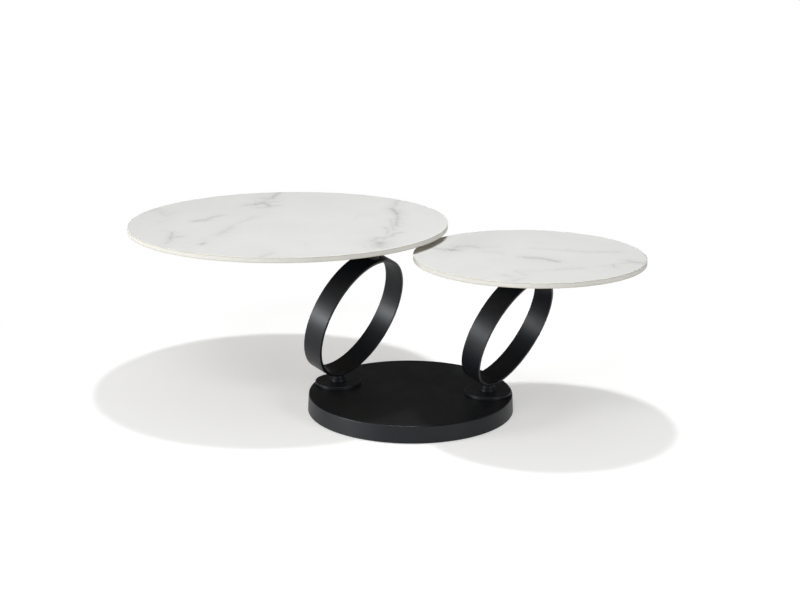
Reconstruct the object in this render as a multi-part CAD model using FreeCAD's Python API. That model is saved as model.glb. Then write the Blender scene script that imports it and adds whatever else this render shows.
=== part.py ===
import FreeCAD, Part
import math
import os
from FreeCAD import Vector

# Swivel coffee table, in millimetres and degrees.
# Origin: centre of the base on the floor. +Z is up, +X runs from the large swivel to the small one.

# Swivel axes: both on one circle about the base's centre, mirrored about the Y axis
pivot_circle_radius = 190.0
pivot_half_angle = 83.0

# Base drum, whose rim stands outside the swivel axes by the edge distance
pivot_edge_distance = 60.0
base_taper = 2.5
base_height = 43.0
base_edge_round = 2.5
base_top_wall = 6.0
base_skirt_wall = 4.0
bottom_plate_thickness = 4.0
felt_thickness = 1.5
felt_inset = 4.0
ballast_headroom = 12.0

# Bosses under the cover that take the bottom plate's screws
boss_count = 6
boss_first_angle = 90.0
boss_inset = 24.0
boss_radius = 9.0
plate_screw_engagement = 12.0

# Spindles and their bearings
spindle_radius = 14.0
spindle_shoulder = 4.0
running_clearance = 0.05
axial_play = 0.05
bush_wall = 3.0
bush_flange_reach = 4.0
bush_flange_thickness = 2.0
bush_spacing = 0.5
housing_wall = 7.0
housing_flange_reach = 13.0
housing_flange_thickness = 5.0
housing_screw_count = 4
housing_screw_first_angle = 45.0
housing_screw_radius = 2.5
housing_screw_head_radius = 4.25
housing_screw_head_height = 3.0
housing_screw_engagement = 4.0
housing_pocket_clearance = 3.0
thrust_washer_reach = 8.0
thrust_washer_thickness = 2.0
nut_height = 5.5
nut_wall = 5.0
nut_floor_gap = 1.0
spindle_end_gap = 0.5

# Swivel feet on their glide washers, each a flat disc with a hub under the neck
glide_thickness = 1.0
glide_inset = 2.0
foot_radius = 57.0
foot_thickness = 7.0
foot_edge_round = 1.5
hub_radius = 19.5
hub_height = 6.5
hub_edge_round = 1.0
neck_radius = 16.0

# Flat-bar rings
ring_rise = 27.0
ring_width = 51.0
ring_wall = 7.0
ring_edge_round = 1.0
large_ring_radius = 160.5
small_ring_radius = 148.0
large_ring_tilt = 18.9
small_ring_tilt = 20.8
large_rest_angle = -22.4
small_rest_angle = -23.7
ring_screw_spacing = 16.0
ring_screw_engagement = 9.0

# Posts, flanges and plates that carry the tops
top_rise = 29.0
spigot_radius = 12.0
flange_radius = 32.0
flange_height = 14.0
flange_edge_height = 4.0
flange_low_radius = 20.0
flange_edge_round = 1.4
top_plate_thickness = 6.0
top_plate_edge_round = 1.0
large_plate_radius = 170.0
large_plate_offset = 110.0
small_plate_radius = 110.0
small_plate_offset = 0.0
flange_screw_count = 4
flange_screw_circle_radius = 22.0
flange_screw_engagement = 7.0
post_bolt_radius = 5.0
post_bolt_head_radius = 9.5
post_bolt_engagement = 12.0
bond_pad_thickness = 1.0
bond_pad_inset = 4.0

# Sintered stone tops, each one slab; its turn is about the post, from the line of the ring's lean
large_top_radius = 400.0
small_top_radius = 272.0
large_top_offset = 275.0
small_top_offset = 0.0
large_top_turn = -5.7
small_top_turn = 0.0
stone_thickness = 12.0
arris = 1.0

# Countersunk screws of one size, with a hexagon socket
screw_radius = 3.0
screw_head_radius = 6.0
socket_radius = 2.2
socket_depth = 2.0

# Fits between still pieces
slip_clearance = 0.3
screw_clearance = 0.1
seat_clearance = 0.05

# How closely an edge has to match the circle it is looked up by
match_tolerance = 0.01

# Heights and radii that follow from the sizes above
base_top_radius = pivot_circle_radius + pivot_edge_distance
base_bottom_radius = base_top_radius + base_taper
bottom_plate_top = felt_thickness + bottom_plate_thickness
ceiling = base_height - base_top_wall
ballast_top = ceiling - ballast_headroom
cavity_radius = base_top_radius - base_skirt_wall
boss_circle_radius = cavity_radius - boss_inset
bush_bore = spindle_radius + running_clearance
bush_radius = bush_bore + bush_wall
bush_flange_radius = bush_radius + bush_flange_reach
housing_radius = bush_radius + housing_wall
housing_flange_radius = housing_radius + housing_flange_reach
housing_screw_circle_radius = housing_radius + housing_flange_reach / 2
housing_pocket_radius = housing_flange_radius + housing_pocket_clearance
thread_radius = spindle_radius - spindle_shoulder
nut_bottom = bottom_plate_top + nut_floor_gap
nut_top = nut_bottom + nut_height
spindle_end = nut_bottom - spindle_end_gap
washer_top = nut_top + thrust_washer_thickness
housing_bottom = washer_top + axial_play
bush_length = (base_height - housing_bottom - bush_spacing) / 2
foot_bottom = base_height + glide_thickness
foot_top = foot_bottom + foot_thickness + hub_height
ring_low_edge = base_height + ring_rise
up = Vector(0, 0, 1)
down = Vector(0, 0, -1)

os.makedirs("parts", exist_ok=True)


def rod(centre, radius, low, high):
    return Part.makeCylinder(radius, high - low, Vector(centre.x, centre.y, low))


def tube(centre, inner, outer, low, high):
    return rod(centre, outer, low, high).cut(rod(centre, inner, low, high))


def heading(angle):
    return Vector(math.cos(math.radians(angle)), math.sin(math.radians(angle)), 0)


def around(centre, radius, count, first_angle):
    step = 360.0 / count
    return [centre + heading(first_angle + step * index) * radius for index in range(count)]


def at_height(point, height):
    return Vector(point.x, point.y, height)


def aim(shape, point, direction):
    placed = shape.copy()
    placed.Placement = FreeCAD.Placement(point, FreeCAD.Rotation(up, direction))
    return placed


def spun(edges):
    face = Part.Face(Part.Wire(edges))
    return face.revolve(Vector(0, 0, 0), up, 360)


def polyline(points):
    pairs = zip(points, points[1:])
    return [Part.LineSegment(Vector(*a), Vector(*b)).toShape() for a, b in pairs]


def edges_at(shape, radius, height):
    found = []
    for edge in shape.Edges:
        circle = edge.Curve
        if isinstance(circle, Part.Circle) and abs(circle.Radius - radius) < match_tolerance:
            if abs(circle.Center.z - height) < match_tolerance:
                found.append(edge)
    return found


def hexagon(middle, corner_radius, height):
    corners = around(middle, corner_radius, 6, 0)
    return Part.Face(Part.makePolygon(corners + corners[:1])).extrude(up * height)


def countersunk_screw(radius, head_radius, length):
    head_depth = head_radius - radius
    head = Part.makeCone(head_radius, radius, head_depth)
    shank = Part.makeCylinder(radius, length - head_depth, Vector(0, 0, head_depth))
    return head.fuse(shank).removeSplitter().cut(hexagon(Vector(0, 0, 0), socket_radius, socket_depth))


def countersunk_hole(radius, head_radius, length):
    wide = head_radius + screw_clearance
    narrow = radius + screw_clearance
    mouth = Part.makeCylinder(wide, head_radius, Vector(0, 0, -head_radius))
    cone = Part.makeCone(wide, narrow, wide - narrow)
    shank = Part.makeCylinder(narrow, length + screw_clearance)
    return mouth.fuse([cone, shank])


def housing_screw():
    head = Part.makeCylinder(housing_screw_head_radius, housing_screw_head_height,
                             Vector(0, 0, -housing_screw_head_height))
    shank = Part.makeCylinder(housing_screw_radius, housing_flange_thickness + housing_screw_engagement)
    socket = hexagon(Vector(0, 0, -housing_screw_head_height), socket_radius, socket_depth)
    return head.fuse(shank).removeSplitter().cut(socket)


def save(name, shape):
    solids = shape.Solids
    if not shape.isValid() or not solids:
        raise ValueError(name + " is not a valid solid")
    shape.exportStep("parts/" + name + ".step")
    print(name, len(solids), round(sum(solid.Volume for solid in solids), 1))


pivots = {"large": heading(90 + pivot_half_angle) * pivot_circle_radius,
          "small": heading(90 - pivot_half_angle) * pivot_circle_radius}
centre = Vector(0, 0, 0)
bosses = around(centre, boss_circle_radius, boss_count, boss_first_angle)
plate_screw_length = bottom_plate_thickness + plate_screw_engagement


def housing_screw_points(axis):
    return around(axis, housing_screw_circle_radius, housing_screw_count, housing_screw_first_angle)


def base_cover():
    drum = Part.makeCone(base_bottom_radius, base_top_radius, base_height - felt_thickness,
                         Vector(0, 0, felt_thickness))
    drum = drum.makeFillet(base_edge_round, edges_at(drum, base_top_radius, base_height))
    cover = drum.cut(rod(centre, cavity_radius, felt_thickness, ceiling))
    cover = cover.fuse([rod(boss, boss_radius, bottom_plate_top, ceiling) for boss in bosses])
    holes = []
    for boss in bosses:
        holes.append(rod(boss, screw_radius + screw_clearance, bottom_plate_top,
                         felt_thickness + plate_screw_length + screw_clearance))
    for axis in pivots.values():
        holes.append(rod(axis, housing_radius + screw_clearance, ceiling, base_height))
        for point in housing_screw_points(axis):
            holes.append(rod(point, housing_screw_radius + screw_clearance, ceiling,
                             ceiling + housing_screw_engagement + screw_clearance))
    return cover.cut(holes).removeSplitter()


def base_ballast():
    disc = rod(centre, cavity_radius - slip_clearance, bottom_plate_top, ballast_top)
    holes = [rod(boss, boss_radius + slip_clearance, bottom_plate_top, ballast_top) for boss in bosses]
    for axis in pivots.values():
        holes.append(rod(axis, housing_pocket_radius, bottom_plate_top, ballast_top))
    return disc.cut(holes)


def base_bottom_plate():
    plate = rod(centre, cavity_radius - slip_clearance, felt_thickness, bottom_plate_top)
    hole = countersunk_hole(screw_radius, screw_head_radius, plate_screw_length)
    return plate.cut([aim(hole, at_height(boss, felt_thickness), up) for boss in bosses])


def bottom_plate_screws():
    screw = countersunk_screw(screw_radius, screw_head_radius, plate_screw_length)
    return Part.makeCompound([aim(screw, at_height(boss, felt_thickness), up) for boss in bosses])


def bearing(side):
    axis = pivots[side]
    points = housing_screw_points(axis)
    flange_bottom = ceiling - housing_flange_thickness
    housing = rod(axis, housing_radius, housing_bottom, base_height)
    housing = housing.fuse(rod(axis, housing_flange_radius, flange_bottom, ceiling))
    holes = [rod(axis, bush_radius, housing_bottom, base_height)]
    lower_seat = housing_bottom + bush_flange_thickness
    upper_seat = base_height - bush_flange_thickness
    holes.append(rod(axis, bush_flange_radius + screw_clearance, housing_bottom, lower_seat))
    holes.append(rod(axis, bush_flange_radius + screw_clearance, upper_seat, base_height))
    for point in points:
        holes.append(rod(point, housing_screw_radius + screw_clearance, flange_bottom, ceiling))
    save(side + "_bearing_housing", housing.cut(holes).removeSplitter())

    screw = housing_screw()
    screws = [aim(screw, at_height(point, flange_bottom), up) for point in points]
    save(side + "_housing_screws", Part.makeCompound(screws))

    sleeve = bush_radius - seat_clearance
    lower = tube(axis, bush_bore, sleeve, housing_bottom, housing_bottom + bush_length)
    lower = lower.fuse(tube(axis, bush_bore, bush_flange_radius, housing_bottom, lower_seat))
    save(side + "_lower_bush", lower.removeSplitter())
    upper = tube(axis, bush_bore, sleeve, base_height - bush_length, base_height)
    upper = upper.fuse(tube(axis, bush_bore, bush_flange_radius, upper_seat, base_height))
    save(side + "_upper_bush", upper.removeSplitter())

    glide = tube(axis, spindle_radius + slip_clearance, foot_radius - glide_inset, base_height, foot_bottom)
    save(side + "_glide_washer", glide)


def swivel_foot(axis):
    bore = spindle_radius + seat_clearance
    hub_top = foot_thickness + hub_height
    foot = spun(polyline([(bore, 0, 0), (foot_radius, 0, 0), (foot_radius, 0, foot_thickness),
                          (hub_radius, 0, foot_thickness), (hub_radius, 0, hub_top), (bore, 0, hub_top),
                          (bore, 0, 0)]))
    foot = foot.makeFillet(foot_edge_round, edges_at(foot, foot_radius, foot_thickness))
    foot = foot.makeFillet(hub_edge_round, edges_at(foot, hub_radius, hub_top))
    return foot.translated(at_height(axis, foot_bottom))


def top_flange(axis, low):
    bore = spigot_radius + seat_clearance
    step = flange_height - flange_edge_height
    flange = spun(polyline([(bore, 0, 0), (flange_low_radius, 0, 0), (flange_radius, 0, step),
                            (flange_radius, 0, flange_height), (bore, 0, flange_height), (bore, 0, 0)]))
    flange = flange.makeFillet(flange_edge_round, edges_at(flange, flange_radius, step))
    return flange.translated(at_height(axis, low))


def ring_frame(axis, radius, tilt, rest_angle):
    lean = heading(rest_angle)
    sine = math.sin(math.radians(tilt))
    cosine = math.cos(math.radians(tilt))
    rise = lean * sine + up * cosine
    normal = lean * cosine - up * sine
    half_drop = ring_width / 2 * sine
    middle = at_height(axis, ring_low_edge + half_drop) + rise * radius
    crown = middle + rise * radius
    return {"rise": rise, "normal": normal, "middle": middle, "crown": crown,
            "high_edge": crown.z + half_drop}


def barrel(frame, radius, length):
    start = frame["middle"] - frame["normal"] * (length / 2)
    return Part.makeCylinder(radius, length, start, frame["normal"])


def ring_screw_seats(frame, radius, direction):
    face = frame["middle"] + direction * (radius - ring_wall)
    offset = frame["normal"] * (ring_screw_spacing / 2)
    return [face - offset, face + offset]


def flat_bar_ring(frame, radius, holes):
    outer = Part.makeCylinder(radius, ring_width)
    band = outer.cut(Part.makeCylinder(radius - ring_wall, ring_width))
    rims = [edge for edge in band.Edges if isinstance(edge.Curve, Part.Circle)]
    band = band.makeFillet(ring_edge_round, rims)
    start = frame["middle"] - frame["normal"] * (ring_width / 2)
    return aim(band, start, frame["normal"]).cut(holes)


def swivel(side, ring_radius, ring_tilt, rest_angle, plate_radius, plate_offset,
           top_radius, top_offset, top_turn):
    axis = pivots[side]
    frame = ring_frame(axis, ring_radius, ring_tilt, rest_angle)
    saddle_length = ring_radius * 4
    saddle = barrel(frame, ring_radius + seat_clearance, saddle_length)

    thread = rod(axis, thread_radius, spindle_end, washer_top)
    thread_bore = thread_radius + seat_clearance
    washer = tube(axis, thread_bore, thread_radius + thrust_washer_reach, nut_top, washer_top)
    save(side + "_thrust_washer", washer)
    nut_corner_radius = (thread_radius + nut_wall) / math.cos(math.radians(30))
    nut = hexagon(at_height(axis, nut_bottom), nut_corner_radius, nut_height)
    save(side + "_lock_nut", nut.cut(rod(axis, thread_bore, nut_bottom, nut_top)))
    save(side + "_swivel_foot", swivel_foot(axis))

    screw_length = ring_wall + ring_screw_engagement
    screw = countersunk_screw(screw_radius, screw_head_radius, screw_length)
    hole = countersunk_hole(screw_radius, screw_head_radius, screw_length)
    lower_seats = ring_screw_seats(frame, ring_radius, frame["rise"] * -1)
    upper_seats = ring_screw_seats(frame, ring_radius, frame["rise"])
    lower_holes = [aim(hole, seat, frame["rise"] * -1) for seat in lower_seats]
    upper_holes = [aim(hole, seat, frame["rise"]) for seat in upper_seats]
    lower_screws = [aim(screw, seat, frame["rise"] * -1) for seat in lower_seats]
    upper_screws = [aim(screw, seat, frame["rise"]) for seat in upper_seats]

    shaft = rod(axis, spindle_radius, washer_top, foot_top)
    neck = rod(axis, neck_radius, foot_top, frame["middle"].z).cut(saddle)
    save(side + "_spindle", thread.fuse([shaft, neck]).removeSplitter().cut(lower_holes))
    save(side + "_ring", flat_bar_ring(frame, ring_radius, lower_holes + upper_holes))
    save(side + "_lower_ring_screws", Part.makeCompound(lower_screws))
    save(side + "_upper_ring_screws", Part.makeCompound(upper_screws))

    post_axis = at_height(frame["crown"], 0)
    underside = frame["high_edge"] + top_rise
    plate_top = underside - bond_pad_thickness
    plate_bottom = plate_top - top_plate_thickness
    flange_bottom = plate_bottom - flange_height

    bolt_length = top_plate_thickness + post_bolt_engagement
    bolt_hole = aim(countersunk_hole(post_bolt_radius, post_bolt_head_radius, bolt_length),
                    at_height(post_axis, plate_top), down)
    bolt = countersunk_screw(post_bolt_radius, post_bolt_head_radius, bolt_length)
    save(side + "_post_bolt", aim(bolt, at_height(post_axis, plate_top), down))

    flange_screw_length = top_plate_thickness + flange_screw_engagement
    flange_points = around(at_height(post_axis, plate_top), flange_screw_circle_radius,
                           flange_screw_count, rest_angle + top_turn)
    flange_hole = countersunk_hole(screw_radius, screw_head_radius, flange_screw_length)
    flange_holes = [aim(flange_hole, point, down) for point in flange_points]
    flange_screw = countersunk_screw(screw_radius, screw_head_radius, flange_screw_length)
    save(side + "_flange_screws", Part.makeCompound([aim(flange_screw, p, down) for p in flange_points]))

    post = rod(post_axis, neck_radius, frame["middle"].z, flange_bottom).cut(saddle)
    post = post.fuse(rod(post_axis, spigot_radius, flange_bottom, plate_bottom)).removeSplitter()
    save(side + "_upper_post", post.cut(upper_holes + [bolt_hole]))
    save(side + "_top_flange", top_flange(post_axis, flange_bottom).cut(flange_holes))

    overhang = heading(rest_angle + top_turn) * -1
    plate_axis = post_axis + overhang * plate_offset
    plate = rod(plate_axis, plate_radius, plate_bottom, plate_top)
    plate = plate.makeFillet(top_plate_edge_round, edges_at(plate, plate_radius, plate_bottom))
    save(side + "_top_plate", plate.cut(flange_holes + [bolt_hole]))
    save(side + "_bond_pad", rod(plate_axis, plate_radius - bond_pad_inset, plate_top, underside))

    top_axis = post_axis + overhang * top_offset
    face = underside + stone_thickness
    stone = rod(top_axis, top_radius, underside, face)
    rims = edges_at(stone, top_radius, underside) + edges_at(stone, top_radius, face)
    save(side + "_stone_top", stone.makeChamfer(arris, rims))
    print(side, "pivot", axis, "post", post_axis, "top centre", at_height(top_axis, face))


save("base_cover", base_cover())
save("base_ballast", base_ballast())
save("base_bottom_plate", base_bottom_plate())
save("bottom_plate_screws", bottom_plate_screws())
save("base_felt_pad", rod(centre, base_bottom_radius - felt_inset, 0, felt_thickness))
for side_name in pivots:
    bearing(side_name)
swivel("large", large_ring_radius, large_ring_tilt, large_rest_angle,
       large_plate_radius, large_plate_offset, large_top_radius, large_top_offset, large_top_turn)
swivel("small", small_ring_radius, small_ring_tilt, small_rest_angle,
       small_plate_radius, small_plate_offset, small_top_radius, small_top_offset, small_top_turn)
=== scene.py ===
import math

import bmesh
import bpy
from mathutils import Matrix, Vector


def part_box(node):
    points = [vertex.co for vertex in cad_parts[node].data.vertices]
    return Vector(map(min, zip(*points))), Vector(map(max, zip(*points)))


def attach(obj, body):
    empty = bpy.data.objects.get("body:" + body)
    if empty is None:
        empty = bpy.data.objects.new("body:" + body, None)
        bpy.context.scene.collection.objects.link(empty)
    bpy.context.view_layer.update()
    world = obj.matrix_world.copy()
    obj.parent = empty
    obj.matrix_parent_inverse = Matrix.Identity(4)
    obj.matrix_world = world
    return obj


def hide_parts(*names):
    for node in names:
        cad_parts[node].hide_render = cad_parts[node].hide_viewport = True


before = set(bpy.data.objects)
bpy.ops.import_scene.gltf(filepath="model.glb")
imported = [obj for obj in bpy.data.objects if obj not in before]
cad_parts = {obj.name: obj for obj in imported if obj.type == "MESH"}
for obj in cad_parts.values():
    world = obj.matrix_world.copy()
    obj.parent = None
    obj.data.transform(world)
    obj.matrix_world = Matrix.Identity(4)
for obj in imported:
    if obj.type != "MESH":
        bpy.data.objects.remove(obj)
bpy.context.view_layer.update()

mm = 0.001  # sizes are written in millimetres and multiplied by this
firstColour, secondColour, mixedColour = 6, 7, 2  # sockets of a Mix node that mixes colours


def linear(hexColour):
    # sRGB hex to the linear colour that Blender's sockets take
    channels = [int(hexColour[i:i + 2], 16) / 255 for i in (1, 3, 5)]
    return tuple(c / 12.92 if c <= 0.04045 else ((c + 0.055) / 1.055) ** 2.4 for c in channels) + (1,)


def addNode(tree, kind, settings, inputs):
    # an input is linked where it is given another node's socket, and set where it is given a value
    node = tree.nodes.new("ShaderNode" + kind)
    for name, value in settings.items():
        setattr(node, name, value)
    for name, value in inputs.items():
        if isinstance(value, bpy.types.NodeSocket):
            tree.links.new(value, node.inputs[name])
        else:
            node.inputs[name].default_value = value
    return node


def startMaterial(name):
    material = bpy.data.materials.new(name)
    material.use_nodes = True
    material.node_tree.nodes.clear()
    return material, material.node_tree


def perMillimetre(size):
    # noise scale that gives features of this many millimetres
    return 1 / (size * mm)


# Camera, at the photograph's viewing angle
cameraSettings = {
    "place": (595.6, -3168.5, 1142.9),
    "pitch": 15.055,    # degrees below level
    "turn": 11.797,     # degrees to the left of straight ahead
    "lens": 62.124,
    "sensor": 36,       # width that goes with the lens
    "shiftX": 0.01979,  # share of the frame's width
    "clipEnd": 500,     # metres, past the floor's far corners
}


def placeCamera(s):
    data = bpy.data.cameras.new("photoCamera")
    data.lens = s["lens"]
    data.sensor_width = s["sensor"]
    data.shift_x = s["shiftX"]
    data.clip_end = s["clipEnd"]
    camera = bpy.data.objects.new("photoCamera", data)
    camera.location = [v * mm for v in s["place"]]
    camera.rotation_euler = (math.radians(90 - s["pitch"]), 0, math.radians(s["turn"]))
    bpy.context.scene.collection.objects.link(camera)
    bpy.context.scene.camera = camera


placeCamera(cameraSettings)
print("camera placed")


# Studio: a small key lamp overhead between the tops, three soft boxes, a faint dome and a paper floor
lampSettings = {
    "keyLamp": {"place": (-60, 188, 3066), "aim": (0, 0, 0),
                "shape": "DISK", "size": (260, 260), "watts": 46.5},
    "leftBox": {"place": (-5900, -3690, 980), "aim": (0, 0, 250),
                "shape": "RECTANGLE", "size": (3000, 2000), "watts": 475},
    "rightBox": {"place": (5130, -3590, 1580), "aim": (0, 0, 250),
                 "shape": "RECTANGLE", "size": (2000, 2000), "watts": 186},
    "frontBox": {"place": (-325, -3700, 3595), "aim": (0, 0, 250),
                 "shape": "RECTANGLE", "size": (2400, 1800), "watts": 65},
}
domeSettings = {
    "light": (0.072, 0.72),   # from the sides, and from straight overhead
    "heights": (0.8, 1.0),    # sines of the elevations where it starts to brighten and is full
    "haze": (2, 5),           # degrees above the horizon where the white backdrop starts to fade and ends
}
floorSettings = {
    "halfSide": 150000,
    "drop": 0.2,              # it lies this far under the felt pad, so the two never share a plane
    "paper": "#DCDCDC",
    "lift": 0.4,              # light of its own that the paper adds beside the table
    "farRange": (900, 1400),  # distances from the base's middle between which it turns pure white
}


def hangLamp(name, s):
    data = bpy.data.lights.new(name, "AREA")
    data.shape = s["shape"]
    data.size, data.size_y = [v * mm for v in s["size"]]
    data.energy = s["watts"]
    lamp = bpy.data.objects.new(name, data)
    lamp.location = [v * mm for v in s["place"]]
    aim = Vector(s["aim"]) - Vector(s["place"])
    lamp.rotation_euler = aim.to_track_quat("-Z", "Y").to_euler()
    bpy.context.scene.collection.objects.link(lamp)


def seenRays(tree):
    # 1 for what the eye sees straight, in a reflection or through glass,
    # and 0 for light that only falls on things
    path = addNode(tree, "LightPath", {}, {})
    seen = addNode(tree, "Math", {"operation": "MAXIMUM"}, {
        0: path.outputs["Is Camera Ray"], 1: path.outputs["Is Glossy Ray"]})
    return addNode(tree, "Math", {"operation": "MAXIMUM"}, {
        0: seen.outputs[0], 1: path.outputs["Is Transmission Ray"]}).outputs[0]


def paintDome(s):
    world = bpy.data.worlds.new("studioDome")
    world.use_nodes = True
    tree = world.node_tree
    tree.nodes.clear()
    # even light from the sides, brighter overhead, by the height of the direction looked in
    direction = addNode(tree, "TexCoord", {}, {})
    height = addNode(tree, "SeparateXYZ", {}, {"Vector": direction.outputs["Generated"]})
    level = addNode(tree, "MapRange", {}, {
        "Value": height.outputs["Z"], "From Min": s["heights"][0], "From Max": s["heights"][1],
        "To Min": s["light"][0], "To Max": s["light"][1]})
    # low views look past the floor's far edge, so a white backdrop stands there
    start, end = [math.sin(math.radians(v)) for v in s["haze"]]
    haze = addNode(tree, "MapRange", {"interpolation_type": "SMOOTHSTEP"}, {
        "Value": height.outputs["Z"], "From Min": start, "From Max": end, "To Min": 1, "To Max": 0})
    haze = addNode(tree, "Math", {"operation": "MULTIPLY"}, {
        0: seenRays(tree), 1: haze.outputs["Result"]})
    level = addNode(tree, "Math", {"operation": "MAXIMUM"}, {
        0: level.outputs["Result"], 1: haze.outputs[0]})
    light = addNode(tree, "Background", {}, {"Color": linear("#FFFFFF"), "Strength": level.outputs[0]})
    addNode(tree, "OutputWorld", {}, {"Surface": light.outputs["Background"]})
    bpy.context.scene.world = world


def layFloor(s):
    # white seamless paper: matte, and to the eye and in reflections it adds light of its own beside the table
    # and turns pure white further out, so it looks white all over and keeps the table's shadow
    paper, tree = startMaterial("whiteSeamlessPaper")
    seen = seenRays(tree)
    spot = addNode(tree, "NewGeometry", {}, {})
    away = addNode(tree, "VectorMath", {"operation": "LENGTH"}, {0: spot.outputs["Position"]})
    start, end = [v * mm for v in s["farRange"]]
    far = addNode(tree, "MapRange", {"interpolation_type": "SMOOTHSTEP"}, {
        "Value": away.outputs["Value"], "From Min": start, "From Max": end})
    turned = addNode(tree, "Math", {"operation": "MULTIPLY"}, {0: seen, 1: far.outputs["Result"]})
    lift = addNode(tree, "Math", {"operation": "MULTIPLY"}, {0: seen, 1: s["lift"]})
    matte = addNode(tree, "BsdfDiffuse", {}, {"Color": linear(s["paper"])})
    glow = addNode(tree, "Emission", {}, {"Color": linear("#FFFFFF"), "Strength": lift.outputs[0]})
    near = addNode(tree, "AddShader", {}, {0: matte.outputs["BSDF"], 1: glow.outputs["Emission"]})
    white = addNode(tree, "Emission", {}, {"Color": linear("#FFFFFF"), "Strength": 1})
    mixed = addNode(tree, "MixShader", {}, {
        0: turned.outputs[0], 1: near.outputs["Shader"], 2: white.outputs["Emission"]})
    addNode(tree, "OutputMaterial", {}, {"Surface": mixed.outputs["Shader"]})
    half = s["halfSide"] * mm
    corners = [(-half, -half, 0), (half, -half, 0), (half, half, 0), (-half, half, 0)]
    mesh = bpy.data.meshes.new("studioFloor")
    mesh.from_pydata(corners, [], [(0, 1, 2, 3)])
    mesh.materials.append(paper)
    floor = bpy.data.objects.new("studioFloor", mesh)
    floor.location.z = -s["drop"] * mm
    bpy.context.scene.collection.objects.link(floor)


for name, s in lampSettings.items():
    hangLamp(name, s)
paintDome(domeSettings)
layFloor(floorSettings)
bpy.context.scene.view_settings.view_transform = "Standard"
print("studio lit")


# Sintered stone: a pressed and fired slab with a marble print, honed almost matt, and a plain cut edge.
# To the eye it is a pale, even field with a few soft grey veins and only a faint sheen.
stoneSettings = {
    "face": "#D9D9D7", "cloud": "#D5D5D3", "vein": "#878988",
    "body": "#C6C5C0", "arris": "#B6B1A1", "underside": "#A89C7E",
    "line": (2.6, 1.2),          # how far from the rim's edges the tan line starts and is full
    "printed": (0.45, 0.75),     # how much a surface faces up where the print starts and is full
    "bare": (-0.8, -0.95),       # the same for the underside's colour, which faces down
    "ior": 1.5, "specular": 0.05, "roughness": 0.54,
    "grain": 1.6,                # fine grain of the honed face, drawn coarser than the real one to show
    "relief": 0.05,              # its depth
    "reliefStrength": 0.12,
    "glossChange": 0.05,         # how far it moves the roughness each way
    "cloudSize": 170,            # soft patches across the face
    "cloudLevels": (0.35, 0.7),  # levels of the noise where a patch starts and is full
    "bend": (70, 5),             # size and reach of a vein's slow bends
    "fray": (14, 5),             # size and reach of its frayed edge
    "sharpness": 1.3,            # how much darker a vein is along its middle
    "hairSize": 300,             # spacing of the faint hairlines
    "hairTwist": 0.8,            # how much they curl
    "hairWidth": 0.012,          # their half width, as a part of the noise's range
    "hairDepth": 0.025,
}

# A vein is drawn twice, as its core and as a wider, fainter smudge round it. Their width and depth are shares
# of the vein's own. A noise of this patch size breaks each up, and keeps the least share of its depth at the
# first of its two levels and all of it at the second.
veinLayers = {
    "core": {"width": 1, "depth": 1, "patch": 24, "levels": (0.3, 0.65), "least": 0.65},
    "smudge": {"width": 2.5, "depth": 0.58, "patch": 9, "levels": (0.4, 0.6), "least": 0.15},
}

# Veins, listed in millimetres from the top's middle: points along it, width to where it fades out, depth
largeVeins = [
    # cluster at the back
    ([(-129, 388), (-132, 342), (-128, 288)], 22, 0.5),
    ([(-147, 278), (-125, 284)], 44, 0.34),
    ([(-130, 288), (-138, 245), (-146, 202)], 22, 0.3),
    ([(-148, 196), (-139, 206), (-128, 222)], 34, 0.65),
    ([(-172, 177), (-148, 194)], 26, 0.34),
    ([(-121, 207), (-108, 190), (-97, 177)], 26, 0.52),
    ([(-97, 178), (-82, 190)], 24, 0.34),
    ([(-158, 236), (-128, 240)], 20, 0.3),
    ([(-117, 244), (-101, 248)], 26, 0.36),
    ([(-128, 152), (-98, 163)], 28, 0.26),
    ([(-96, 141), (-80, 77)], 30, 0.08),
    # long vein down the right side, with its knot at the front
    ([(215, 340), (219, 266), (220, 214)], 34, 0.28),
    ([(221, 212), (235, 183), (249, 147)], 32, 0.55),
    ([(249, 147), (261, 84), (271, 28), (275, 0)], 26, 0.42),
    ([(246, 81), (267, -2), (281, -53)], 18, 0.28),
    ([(251, -17), (268, -61), (274, -106)], 18, 0.26),
    ([(300, -72), (289, -86), (288, -120), (275, -136), (275, -152)], 26, 0.38),
    ([(252, -176), (258, -138), (267, -133)], 24, 0.42),
    ([(261, -170), (262, -198), (277, -236), (292, -243)], 20, 0.3),
    ([(292, -243), (290, -203), (275, -168)], 20, 0.26),
    ([(274, -190), (281, -226)], 54, 0.52),
    # strokes across the left and the front
    ([(-231, -47), (-211, -27)], 28, 0.5),
    ([(-209, -20), (-203, 14), (-190, 36)], 20, 0.36),
    ([(-125, -190), (-118, -95)], 30, 0.26),
    ([(-130, -91), (-116, -40), (-99, 40)], 26, 0.17),
    ([(-216, -265), (-229, -225), (-243, -180)], 18, 0.42),
    ([(-229, -242), (-202, -223)], 24, 0.36),
    ([(-214, -300), (-212, -282)], 14, 0.3),
    ([(-129, -298), (-127, -276)], 15, 0.6),
    ([(-144, -239), (-131, -253)], 24, 0.12),
    ([(-388, 54), (-376, 86)], 22, 0.26),
    ([(-364, 58), (-325, 0), (-324, 40)], 34, 0.14),
    ([(-311, -74), (-307, -35)], 40, 0.12),
    ([(-266, -168), (-262, -166)], 26, 0.18),
    ([(39, -398), (58, -346)], 18, 0.3),
    ([(104, -231), (130, -300)], 30, 0.06),
    ([(152, 61), (161, 114)], 18, 0.1),
]
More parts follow.
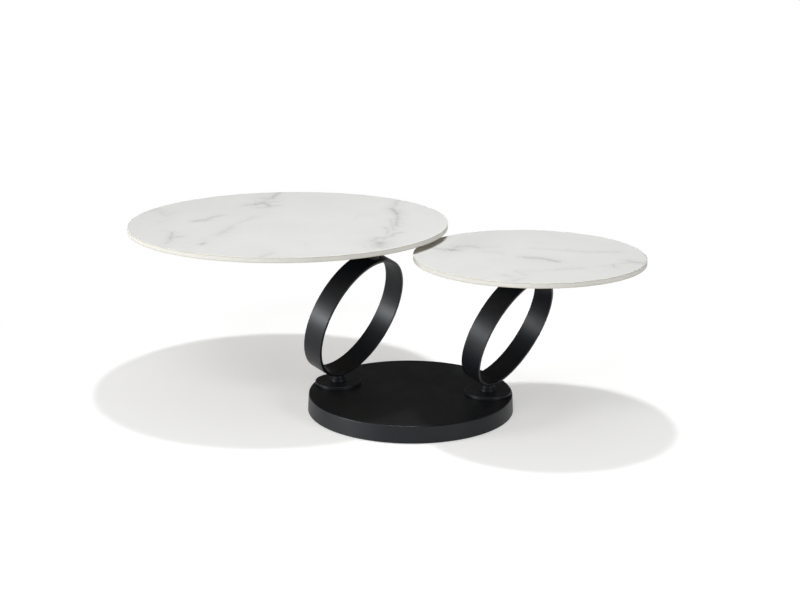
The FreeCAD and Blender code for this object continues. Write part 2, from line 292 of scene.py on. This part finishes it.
smallVeins = [
    # two strokes that meet at the left, and their long faint tails
    ([(-224, 17), (-191, 11)], 26, 0.32),
    ([(-190, 11), (-177, 11)], 28, 0.75),
    ([(-186, 10), (-178, 46)], 22, 0.36),
    ([(-178, 50), (-144, 56)], 32, 0.34),
    ([(-144, 56), (-126, 44)], 26, 0.3),
    ([(-122, 51), (-86, 62)], 24, 0.12),
    ([(-107, 5), (-75, 8), (-61, -8)], 20, 0.18),
    ([(-6, 65), (31, 63), (87, 59)], 22, 0.16),
    ([(87, 59), (123, 53), (203, 68)], 26, 0.25),
    # dark stroke in the middle, then the front and the right
    ([(-8, -29), (4, -34), (36, -35), (54, -49), (74, -56)], 24, 0.56),
    ([(-34, -208), (-18, -217)], 30, 0.26),
    ([(-14, -168), (14, -204)], 26, 0.18),
    ([(-10, -260), (12, -228)], 24, 0.2),
    ([(-11, -171), (40, -152), (74, -136)], 24, 0.12),
    ([(74, -136), (128, -110)], 26, 0.22),
    ([(199, -58), (200, -84)], 13, 0.34),
    ([(168, -82), (193, -77)], 20, 0.12),
    ([(212, -45), (233, -39)], 16, 0.2),
    ([(228, -14), (240, -28), (262, -33)], 22, 0.42),
]


def wanderingPlace(tree, where, s):
    # the place on the slab, pushed about by two noises, so that a line drawn by it bends and frays
    wander = where
    for size, reach in (s["bend"], s["fray"]):
        noise = addNode(tree, "TexNoise", {}, {"Vector": where, "Scale": perMillimetre(size), "Detail": 3})
        centred = addNode(tree, "VectorMath", {"operation": "SUBTRACT"}, {
            0: noise.outputs["Color"], 1: (0.5, 0.5, 0.5)})
        stretch = 2 * reach * mm
        wander = addNode(tree, "VectorMath", {"operation": "MULTIPLY_ADD"}, {
            0: centred.outputs["Vector"], 1: (stretch, stretch, 0), 2: wander}).outputs["Vector"]
    return wander


def drawVeins(tree, where, wander, s, layers, veins):
    # each stretch of a vein fades with the distance from its line, and where two meet the darker one shows
    drawn = {layer: 0 for layer in layers}
    for points, width, depth in veins:
        for start, end in zip(points, points[1:]):
            along = Vector(end) - Vector(start)
            middle = (Vector(end) + Vector(start)) / 2 * mm
            halfWidth = width / 2 * mm
            local = addNode(tree, "Mapping", {"vector_type": "TEXTURE"}, {
                "Vector": wander, "Location": (middle.x, middle.y, 0),
                "Rotation": (0, 0, math.atan2(along.y, along.x)), "Scale": (halfWidth, halfWidth, 1)})
            aside = addNode(tree, "VectorMath", {"operation": "ABSOLUTE"}, {0: local.outputs["Vector"]})
            past = addNode(tree, "VectorMath", {"operation": "SUBTRACT"}, {
                0: aside.outputs["Vector"], 1: (along.length / width, 0, 0)})
            past = addNode(tree, "VectorMath", {"operation": "MAXIMUM"}, {
                0: past.outputs["Vector"], 1: (0, 0, 0)})
            away = addNode(tree, "VectorMath", {"operation": "LENGTH"}, {0: past.outputs["Vector"]})
            for layer, look in layers.items():
                mark = addNode(tree, "MapRange", {}, {
                    "Value": away.outputs["Value"], "From Max": look["width"],
                    "To Min": (depth * look["depth"]) ** (1 / s["sharpness"]), "To Max": 0})
                drawn[layer] = addNode(tree, "Math", {"operation": "MAXIMUM"}, {
                    0: drawn[layer], 1: mark.outputs["Result"]}).outputs[0]
    # patches break both up: long paler stretches in the core, small spots in the smudge
    marks = []
    for layer, look in layers.items():
        sharp = addNode(tree, "Math", {"operation": "POWER"}, {0: drawn[layer], 1: s["sharpness"]})
        patch = addNode(tree, "TexNoise", {}, {
            "Vector": where, "Scale": perMillimetre(look["patch"]), "Detail": 2})
        patch = addNode(tree, "MapRange", {}, {
            "Value": patch.outputs["Fac"], "From Min": look["levels"][0], "From Max": look["levels"][1],
            "To Min": look["least"], "To Max": 1})
        broken = addNode(tree, "Math", {"operation": "MULTIPLY"}, {
            0: sharp.outputs[0], 1: patch.outputs["Result"]})
        marks.append(broken.outputs[0])
    return marks


def drawHairlines(tree, wander, s):
    # faint lines where a slow noise crosses its middle
    noise = addNode(tree, "TexNoise", {}, {
        "Vector": wander, "Scale": perMillimetre(s["hairSize"]), "Detail": 4, "Distortion": s["hairTwist"]})
    off = addNode(tree, "Math", {"operation": "SUBTRACT"}, {0: noise.outputs["Fac"], 1: 0.5})
    off = addNode(tree, "Math", {"operation": "ABSOLUTE"}, {0: off.outputs[0]})
    hair = addNode(tree, "MapRange", {"interpolation_type": "SMOOTHSTEP"}, {
        "Value": off.outputs[0], "From Max": s["hairWidth"], "To Min": s["hairDepth"], "To Max": 0})
    return hair.outputs["Result"]


def sinteredStone(name, s, layers, veins, thickness):
    material, tree = startMaterial(name)
    slab = addNode(tree, "TexCoord", {}, {})
    where = slab.outputs["Object"]
    wander = wanderingPlace(tree, where, s)
    depth = drawHairlines(tree, wander, s)
    for mark in drawVeins(tree, where, wander, s, layers, veins):
        depth = addNode(tree, "Math", {"operation": "MAXIMUM"}, {0: depth, 1: mark}).outputs[0]
    # printed face: clouds, then veins
    cloud = addNode(tree, "TexNoise", {}, {
        "Vector": where, "Scale": perMillimetre(s["cloudSize"]), "Detail": 4})
    cloud = addNode(tree, "MapRange", {}, {
        "Value": cloud.outputs["Fac"], "From Min": s["cloudLevels"][0], "From Max": s["cloudLevels"][1]})
    face = addNode(tree, "Mix", {"data_type": "RGBA"}, {
        0: cloud.outputs["Result"], firstColour: linear(s["face"]), secondColour: linear(s["cloud"])})
    face = addNode(tree, "Mix", {"data_type": "RGBA"}, {
        0: depth, firstColour: face.outputs[mixedColour], secondColour: linear(s["vein"])})
    # cut edge: the slab's pale body, with a tan line along its upper and its lower edge
    height = addNode(tree, "SeparateXYZ", {}, {"Vector": where}).outputs["Z"]
    offMiddle = addNode(tree, "Math", {"operation": "ADD"}, {0: height, 1: thickness / 2})
    offMiddle = addNode(tree, "Math", {"operation": "ABSOLUTE"}, {0: offMiddle.outputs[0]})
    start, end = [thickness / 2 - v * mm for v in s["line"]]
    line = addNode(tree, "MapRange", {}, {
        "Value": offMiddle.outputs[0], "From Min": start, "From Max": end})
    rim = addNode(tree, "Mix", {"data_type": "RGBA"}, {
        0: line.outputs["Result"], firstColour: linear(s["body"]), secondColour: linear(s["arris"])})
    # the print covers what faces up, and the underside is bare
    upward = addNode(tree, "SeparateXYZ", {}, {"Vector": slab.outputs["Normal"]}).outputs["Z"]
    printed = addNode(tree, "MapRange", {}, {
        "Value": upward, "From Min": s["printed"][0], "From Max": s["printed"][1]})
    colour = addNode(tree, "Mix", {"data_type": "RGBA"}, {
        0: printed.outputs["Result"], firstColour: rim.outputs[mixedColour],
        secondColour: face.outputs[mixedColour]})
    bare = addNode(tree, "MapRange", {}, {
        "Value": upward, "From Min": s["bare"][0], "From Max": s["bare"][1]})
    colour = addNode(tree, "Mix", {"data_type": "RGBA"}, {
        0: bare.outputs["Result"], firstColour: colour.outputs[mixedColour],
        secondColour: linear(s["underside"])})
    # fine grain in relief and gloss
    grain = addNode(tree, "TexNoise", {}, {
        "Vector": where, "Scale": perMillimetre(s["grain"]), "Detail": 2})
    relief = addNode(tree, "Bump", {}, {
        "Strength": s["reliefStrength"], "Distance": s["relief"] * mm, "Height": grain.outputs["Fac"]})
    gloss = addNode(tree, "MapRange", {}, {
        "Value": grain.outputs["Fac"],
        "To Min": s["roughness"] - s["glossChange"], "To Max": s["roughness"] + s["glossChange"]})
    surface = addNode(tree, "BsdfPrincipled", {}, {
        "Base Color": colour.outputs[mixedColour], "Roughness": gloss.outputs["Result"], "IOR": s["ior"],
        "Specular IOR Level": s["specular"], "Normal": relief.outputs["Normal"]})
    addNode(tree, "OutputMaterial", {}, {"Surface": surface.outputs["BSDF"]})
    return material


# The finishes below are one pattern of grain over a plain coat, metal or sheet.
# colour, fleck: the two that it drifts between; tint: colour of its reflections; grain, relief: the grain's
# size and depth in mm; mottle: size of the slow drift in colour and gloss, in mm
finishSettings = {
    # polyester powder coat, sprayed and baked: deep satin black with slightly cool reflections
    # and a fine orange peel, drawn coarser to show
    "black_powder_coat": {
        "name": "satinBlackPowderCoat", "colour": "#0E0F12", "fleck": "#131417", "tint": "#F7FBFF",
        "metallic": 0, "specular": 0.265, "roughness": 0.41, "grain": 2.4, "relief": 0.06, "mottle": 60},
    # pressed steel, zinc plated: pale blue-grey metal, slightly cloudy
    "zinc_plated_steel": {
        "name": "zincPlatedSteel", "colour": "#B9BDC2", "fleck": "#A3A8AE", "tint": "#FFFFFF",
        "metallic": 1, "specular": 0.5, "roughness": 0.34, "grain": 1.5, "relief": 0.01, "mottle": 8},
    # grey iron, sand cast and left raw: dull dark metal with a sandy skin
    "cast_iron_ballast": {
        "name": "rawCastIron", "colour": "#4A4846", "fleck": "#3A3735", "tint": "#FFFFFF",
        "metallic": 0.6, "specular": 0.5, "roughness": 0.72, "grain": 2.5, "relief": 0.25, "mottle": 40},
    # sintered bronze, oil filled: brown-gold metal with fine pores
    "sintered_bronze": {
        "name": "sinteredBronze", "colour": "#A07C4E", "fleck": "#7A5B36", "tint": "#FFFFFF",
        "metallic": 1, "specular": 0.5, "roughness": 0.45, "grain": 0.8, "relief": 0.03, "mottle": 6},
    # acetal sheet, cut: waxy black plastic
    "acetal_glide": {
        "name": "blackAcetal", "colour": "#1A1A1B", "fleck": "#202021", "tint": "#FFFFFF",
        "metallic": 0, "specular": 0.45, "roughness": 0.38, "grain": 1.2, "relief": 0.01, "mottle": 12},
    # pressed wool felt: dark grey, no shine, loose fibres
    "wool_felt": {
        "name": "pressedWoolFelt", "colour": "#3A3A3C", "fleck": "#29292B", "tint": "#FFFFFF",
        "metallic": 0, "specular": 0.1, "roughness": 0.95, "grain": 0.9, "relief": 0.3, "mottle": 14},
    # cured silicone: milky grey rubber
    "bond_silicone": {
        "name": "curedSilicone", "colour": "#C9C9C6", "fleck": "#BDBDBA", "tint": "#FFFFFF",
        "metallic": 0, "specular": 0.4, "roughness": 0.5, "grain": 4, "relief": 0.05, "mottle": 20},
}
grainSettings = {
    "mottleLevels": (0.3, 0.7),  # levels of the slow noise where the gloss is highest and lowest
    "glossChange": 0.04,         # how far it moves the roughness each way
    "reliefStrength": 0.6,
}


def grainedFinish(s, shared):
    material, tree = startMaterial(s["name"])
    where = addNode(tree, "TexCoord", {}, {}).outputs["Object"]
    grain = addNode(tree, "TexNoise", {}, {
        "Vector": where, "Scale": perMillimetre(s["grain"]), "Detail": 3})
    mottle = addNode(tree, "TexNoise", {}, {
        "Vector": where, "Scale": perMillimetre(s["mottle"]), "Detail": 2})
    colour = addNode(tree, "Mix", {"data_type": "RGBA"}, {
        0: mottle.outputs["Fac"], firstColour: linear(s["colour"]), secondColour: linear(s["fleck"])})
    low, high = shared["mottleLevels"]
    gloss = addNode(tree, "MapRange", {}, {
        "Value": mottle.outputs["Fac"], "From Min": low, "From Max": high,
        "To Min": s["roughness"] - shared["glossChange"], "To Max": s["roughness"] + shared["glossChange"]})
    relief = addNode(tree, "Bump", {}, {
        "Strength": shared["reliefStrength"], "Distance": s["relief"] * mm, "Height": grain.outputs["Fac"]})
    surface = addNode(tree, "BsdfPrincipled", {}, {
        "Base Color": colour.outputs[mixedColour], "Metallic": s["metallic"],
        "Roughness": gloss.outputs["Result"], "Specular IOR Level": s["specular"],
        "Specular Tint": linear(s["tint"]), "Normal": relief.outputs["Normal"]})
    addNode(tree, "OutputMaterial", {}, {"Surface": surface.outputs["BSDF"]})
    return material


# Every CAD piece takes the finish of its slot, except the two stone tops, which finer slabs replace below
finishes = {slot: grainedFinish(s, grainSettings) for slot, s in finishSettings.items()}
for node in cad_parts.values():
    slot = node.data.materials[0].name
    if slot in finishes:
        node.data.materials[0] = finishes[slot]
print("CAD pieces finished, in", len(finishes), "finishes")


# Table tops: one stone slab each, turned finer than the CAD mesh, with eased edges
topSettings = {
    "segments": 384,             # around the rim
    "arris": 0.6,                # radius of the eased edges
    "arrisSteps": 4,
    "rings": (0.25, 0.5, 0.75),  # rows of faces across the flat, as shares of the radius
    "hold": 2,                   # flat row kept beside an eased edge
}


def easedDisc(radius, thickness, s):
    # half outline of a round slab with eased edges, from the axis at its top down to the axis at its bottom
    arris = s["arris"] * mm
    inner = radius - arris
    flats = [radius * share for share in s["rings"]] + [inner - s["hold"] * mm]
    turns = [math.pi / 2 * i / s["arrisSteps"] for i in range(s["arrisSteps"] + 1)]
    topEdge = [(inner + arris * math.sin(t), arris * math.cos(t) - arris) for t in turns]
    lowEdge = [(inner + arris * math.cos(t), arris - arris * math.sin(t) - thickness) for t in turns]
    top = [(0, 0)] + [(r, 0) for r in flats]
    bottom = [(r, -thickness) for r in reversed(flats)] + [(0, -thickness)]
    return top + topEdge + lowEdge + bottom


def turnPiece(name, outline, place, segments):
    build = bmesh.new()
    angles = [2 * math.pi * i / segments for i in range(segments)]
    rows = []
    for radius, height in outline:
        if radius == 0:
            rows.append([build.verts.new((0, 0, height))] * segments)
        else:
            row = [(radius * math.cos(a), radius * math.sin(a), height) for a in angles]
            rows.append([build.verts.new(point) for point in row])
    for upper, lower in zip(rows, rows[1:]):
        for i in range(segments):
            j = (i + 1) % segments
            # a point on the axis counts once
            corners = dict.fromkeys([upper[i], lower[i], lower[j], upper[j]])
            build.faces.new(list(corners)).smooth = True
    mesh = bpy.data.meshes.new(name)
    build.to_mesh(mesh)
    build.free()
    piece = bpy.data.objects.new(name, mesh)
    piece.location = place
    bpy.context.scene.collection.objects.link(piece)
    return piece


def layTop(side, veins, s):
    node = side + "_stone_top"
    low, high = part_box(node)
    middle = (low + high) / 2
    radius = min(high.x - low.x, high.y - low.y) / 2
    thickness = high.z - low.z
    outline = easedDisc(radius, thickness, s)
    piece = turnPiece(node + "_slab", outline, (middle.x, middle.y, high.z), s["segments"])
    stone = sinteredStone(side + "SinteredStone", stoneSettings, veinLayers, veins, thickness)
    piece.data.materials.append(stone)
    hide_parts(node)
    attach(piece, side + "_swivel")


for side, veins in (("large", largeVeins), ("small", smallVeins)):
    layTop(side, veins, topSettings)
print("tops laid")
